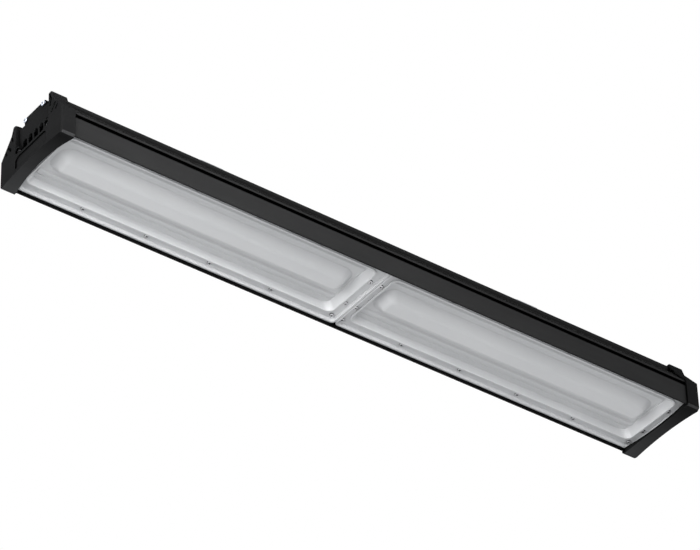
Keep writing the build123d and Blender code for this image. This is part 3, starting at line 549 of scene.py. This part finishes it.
def end_screws(node_name, piece_name):
    """The screws of a node, drawn again with cross recesses."""
    boxes = solids_of(node_name)
    head_places = []
    shank_places = []
    for index, (low_corner, high_corner) in enumerate(boxes):
        middle = (low_corner + high_corner) / 2
        end = math.copysign(1, middle.x)
        face = high_corner.x if end > 0 else low_corner.x
        seat = Matrix.Translation((face - end * CAP_HEAD_HEIGHT, middle.y, middle.z))
        outward = seat @ Matrix.Rotation(-end * math.pi / 2, 4, "Y")
        turn = Matrix.Rotation(CAP_FIRST_TURN + CAP_TURN * index, 4, "Z")
        head_places.append(outward @ turn)
        shank_places.append(outward)
    low_corner, high_corner = boxes[0]
    head_radius = (high_corner.y - low_corner.y) / 2
    length = high_corner.x - low_corner.x - CAP_HEAD_HEIGHT
    shape = spread_out(cross_head(head_radius, CAP_HEAD_HEIGHT, CAP_RECESS_DEPTH), head_places)
    add_to(shape, spread_out(shank(CAP_SHANK_SHARE * head_radius, length), shank_places))
    finished(shape, piece_name, SLOT_OF[node_name], node_name)


end_screws("cap_screws", "cap_screw_heads")
end_screws("cover_end_screws", "cover_end_screw_heads")

# Mould marks on the long rims of the covers: small crescents and dots between the screws.
# The steps count screw pitches from the first screw of each cover.
FLANGE_LEVEL = 17.0 * MM
CRESCENT_THICKNESS = 2.0 * MM
CRESCENT_RADIUS = 4.2 * MM
CRESCENT_ARC = 2.0
CRESCENT_STEPS = (1.5, 3.5)
DOT_RADIUS = 1.7 * MM
DOT_HEIGHT = 1.6 * MM
DOT_ROUND = 0.6 * MM
DOT_STEPS = (0.31, 2.5, 4.69)


def crescent_mark():
    """A short curved bead that lies flat, open towards -X."""
    shape = bmesh.new()
    bmesh.ops.create_circle(shape, cap_ends=True, segments=12, radius=CRESCENT_THICKNESS / 2)
    upright = Matrix.Rotation(math.pi / 2, 3, "X")
    bmesh.ops.rotate(shape, verts=shape.verts, cent=(0, 0, 0), matrix=upright)
    bmesh.ops.translate(shape, verts=shape.verts, vec=(CRESCENT_RADIUS, 0, 0))
    first_end = Matrix.Rotation(-CRESCENT_ARC / 2, 3, "Z")
    bmesh.ops.rotate(shape, verts=shape.verts, cent=(0, 0, 0), matrix=first_end)
    bmesh.ops.spin(
        shape,
        geom=list(shape.faces) + list(shape.edges) + list(shape.verts),
        cent=(0, 0, 0),
        axis=(0, 0, 1),
        angle=CRESCENT_ARC,
        steps=14,
    )
    bmesh.ops.recalc_face_normals(shape, faces=shape.faces)
    return shape


def dot_mark():
    """A low round dot, with its rounded rim down."""
    shape = bmesh.new()
    bmesh.ops.create_cone(
        shape,
        cap_ends=True,
        segments=16,
        radius1=DOT_RADIUS,
        radius2=DOT_RADIUS,
        depth=DOT_HEIGHT,
    )
    rounded_rim(shape, DOT_ROUND, 3, lambda z: z < 0)
    bmesh.ops.recalc_face_normals(shape, faces=shape.faces)
    return shape


rows = sorted((round(middle.y, 4), middle.x) for middle in lens_middles)
crescent_places = []
dot_places = []
for row_y in (rows[0][0], rows[-1][0]):
    along = [x for y, x in rows if y == row_y]
    pitch = along[1] - along[0]
    for first in (along[0], along[len(along) // 2]):
        for steps, places in ((CRESCENT_STEPS, crescent_places), (DOT_STEPS, dot_places)):
            places += [
                Matrix.Translation((first + step * pitch, row_y, FLANGE_LEVEL)) for step in steps
            ]
marks = spread_out(crescent_mark(), crescent_places)
add_to(marks, spread_out(dot_mark(), dot_places))
finished(marks, "lens_rim_marks", "frosted_cover")


# World and floor: both look white, but light the fixture only softly

SKY_COLOUR = (0.95, 0.97, 1.0, 1)
SKY_STRENGTH = 0.34
WHITE = (1, 1, 1, 1)
FLOOR_COLOUR = (0.86, 0.86, 0.86, 1)
FLOOR_LEVEL = -12.0
FLOOR_REACH = 80.0


def seen_white(tree):
    """One for the rays of the camera, of mirrors and of glass, which see a white studio."""
    rays = tree.nodes.new("ShaderNodeLightPath")
    seen = rays.outputs["Is Camera Ray"]
    for kind in ("Is Glossy Ray", "Is Transmission Ray"):
        either = tree.nodes.new("ShaderNodeMath")
        either.operation = "MAXIMUM"
        tree.links.new(seen, either.inputs[0])
        tree.links.new(rays.outputs[kind], either.inputs[1])
        seen = either.outputs["Value"]
    return seen


def white_for_eyes(tree, lit, white, end):
    """Ends a node tree with white where it is seen, and with its own light elsewhere."""
    choose = tree.nodes.new("ShaderNodeMixShader")
    tree.links.new(seen_white(tree), choose.inputs["Fac"])
    tree.links.new(lit, choose.inputs[1])
    tree.links.new(white, choose.inputs[2])
    tree.links.new(choose.outputs["Shader"], end.inputs["Surface"])


def background(tree, colour, strength):
    """A plain light of the world."""
    node = tree.nodes.new("ShaderNodeBackground")
    node.inputs["Color"].default_value = colour
    node.inputs["Strength"].default_value = strength
    return node.outputs["Background"]


world = bpy.data.worlds.new("studio")
bpy.context.scene.world = world
world.use_nodes = True
sky = world.node_tree
sky.nodes.clear()
white_for_eyes(
    sky,
    background(sky, SKY_COLOUR, SKY_STRENGTH),
    background(sky, WHITE, 1.0),
    sky.nodes.new("ShaderNodeOutputWorld"),
)

ground = bmesh.new()
bmesh.ops.create_grid(ground, x_segments=1, y_segments=1, size=FLOOR_REACH)
bmesh.ops.translate(ground, verts=ground.verts, vec=(0, 0, FLOOR_LEVEL))
floor_mesh = bpy.data.meshes.new("studio_floor")
ground.to_mesh(floor_mesh)
ground.free()
floor = bpy.data.objects.new("studio_floor", floor_mesh)
bpy.context.scene.collection.objects.link(floor)
floor_material, floor_shader = blank_material("pale_floor")
floor_shader.inputs["Base Color"].default_value = FLOOR_COLOUR
floor_shader.inputs["Roughness"].default_value = 0.9
floor_nodes = floor_material.node_tree.nodes
floor_glow = floor_nodes.new("ShaderNodeEmission")
floor_glow.inputs["Color"].default_value = WHITE
white_for_eyes(
    floor_material.node_tree,
    floor_shader.outputs["BSDF"],
    floor_glow.outputs["Emission"],
    floor_nodes["Material Output"],
)
floor_mesh.materials.append(floor_material)


# Lamps: each has a place, a target, the side of its square in metres and its power in watts

MIDDLE = (0, 0, 0)


def lamp(name, place, target, size, power):
    """A square soft box that faces the target."""
    data = bpy.data.lights.new(name, "AREA")
    data.shape = "SQUARE"
    data.size = size
    data.energy = power
    box = bpy.data.objects.new(name, data)
    box.location = place
    aim = Vector(target) - Vector(place)
    box.rotation_euler = aim.to_track_quat("-Z", "Y").to_euler()
    bpy.context.scene.collection.objects.link(box)


lamp("key_box", (-3.4, -3.3, -1.2), MIDDLE, 2.2, 32)
lamp("front_box", (0, -5.0, -1.5), MIDDLE, 6.0, 120)
lamp("near_box", (-1.4, -1.7, -0.5), (-0.3, 0, 0), 0.9, 15)
lamp("flank_box", (-0.45, -0.9, 0.04), (-0.35, -0.08, 0.04), 0.4, 9.5)
lamp("end_box", (-5.0, 0, -1.5), MIDDLE, 6.0, 150)
lamp("tip_box", (-2.2, -0.3, 0.1), (-0.6, 0, 0.05), 1.2, 24)
lamp("far_box", (0, 5.0, -3.0), MIDDLE, 6.0, 75)
lamp("right_box", (5.0, 1.5, 0.8), MIDDLE, 6.0, 160)
lamp("top_box", (-2.2, 1.8, 4.2), MIDDLE, 9.0, 330)


# Camera: below the -X end of the fixture, turned a little about its own line of sight

CAMERA_PLACE = Vector((-2.9872, -3.8689, -3.7677))
CAMERA_TARGET = Vector((0, 0.03095, 0.07578))
CAMERA_ROLL = math.radians(-1.777)
CAMERA_LENS_MM = 209.1

camera_data = bpy.data.cameras.new("camera")
camera_data.lens = CAMERA_LENS_MM
camera_data.sensor_width = 36.0
camera_data.clip_end = 300.0
camera = bpy.data.objects.new("camera", camera_data)
line_of_sight = (CAMERA_TARGET - CAMERA_PLACE).to_track_quat("-Z", "Y").to_matrix().to_4x4()
camera.matrix_world = (
    Matrix.Translation(CAMERA_PLACE) @ line_of_sight @ Matrix.Rotation(CAMERA_ROLL, 4, "Z")
)
bpy.context.scene.collection.objects.link(camera)
bpy.context.scene.camera = camera

bpy.context.scene.view_settings.view_transform = "Standard"
